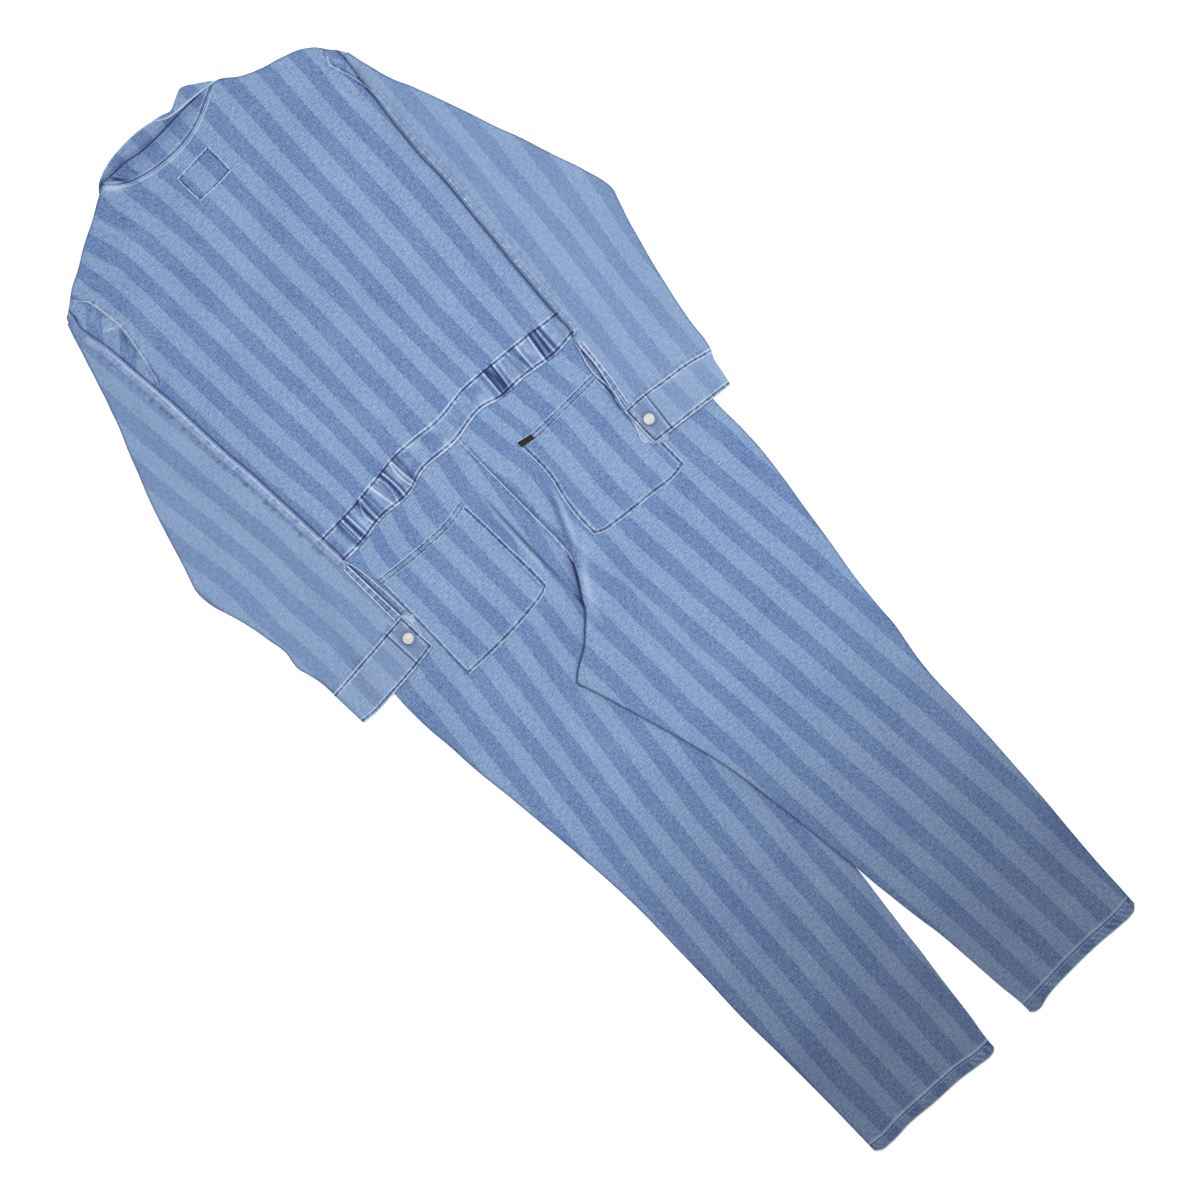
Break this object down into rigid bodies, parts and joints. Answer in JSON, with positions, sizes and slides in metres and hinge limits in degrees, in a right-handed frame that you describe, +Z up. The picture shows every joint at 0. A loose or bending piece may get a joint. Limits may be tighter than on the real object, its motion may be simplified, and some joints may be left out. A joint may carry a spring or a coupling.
{
  "type": "long-sleeved striped denim jumpsuit laid flat",
  "caption": "Long-sleeved denim jumpsuit with tone-on-tone stripes, laid flat back up: gathered waistband, seat patch pockets, turned-up shirt collar and buttoned cuffs.",
  "frame": {"origin": "on the surface the garment lies on, under the middle of its outline", "axes": "+Y from the hems to the neck, +X to the wearer's right (the picture's right, neck up), +Z up from the surface, out of the garment's back"},
  "size_m": [0.6954, 1.5091, 0.0127],
  "materials": {
    "denim_body": "washed blue denim with broad tone-on-tone stripes, matte",
    "denim_sleeve": "the same washed striped denim, a little paler on the sleeves",
    "denim_seam": "folded and stitched denim, worn pale along its ridges",
    "tab_black": "plain black woven tape",
    "button_metal": "domed pale metal shank button, satin"
  },
  "bodies": {
    "root": {"bodice_back": "denim_body", "bodice_front_left": "denim_body", "bodice_front_right": "denim_body", "bodice_front_band": "denim_body", "collar_back": "denim_body", "collar_front": "denim_body", "collar_point": "denim_body", "waistband_back": "denim_body", "waistband_front_left": "denim_body", "waistband_front_right": "denim_body", "trouser_back_left": "denim_body", "trouser_back_right": "denim_body", "trouser_front_left": "denim_body", "trouser_front_right": "denim_body", "fly_strip": "denim_body", "pocket_left": "denim_body", "pocket_right": "denim_body", "sleeve_left_head": "denim_sleeve", "sleeve_right_head": "denim_sleeve", "sleeve_left_upper": "denim_sleeve", "sleeve_right_upper": "denim_sleeve", "sleeve_left_under": "denim_sleeve", "sleeve_right_under": "denim_sleeve", "sleeve_left_underleaf": "denim_sleeve", "sleeve_right_underleaf": "denim_sleeve", "neck_patch": "denim_seam", "hem_left_back": "denim_seam", "hem_left_front": "denim_seam", "hem_right_back": "denim_seam", "hem_right_front": "denim_seam", "pocket_left_band": "denim_seam", "pocket_right_band": "denim_seam", "sleeve_left_seam": "denim_seam", "sleeve_right_seam": "denim_seam", "sleeve_left_placket": "denim_seam", "sleeve_right_placket": "denim_seam", "cuff_left_upper": "denim_seam", "cuff_left_under": "denim_seam", "cuff_left_leaf": "denim_seam", "cuff_right_upper": "denim_seam", "cuff_right_under": "denim_seam", "cuff_right_leaf": "denim_seam", "pocket_tab": "tab_black", "cuff_left_button": "button_metal", "cuff_right_button": "button_metal"}
  },
  "joints": []
}
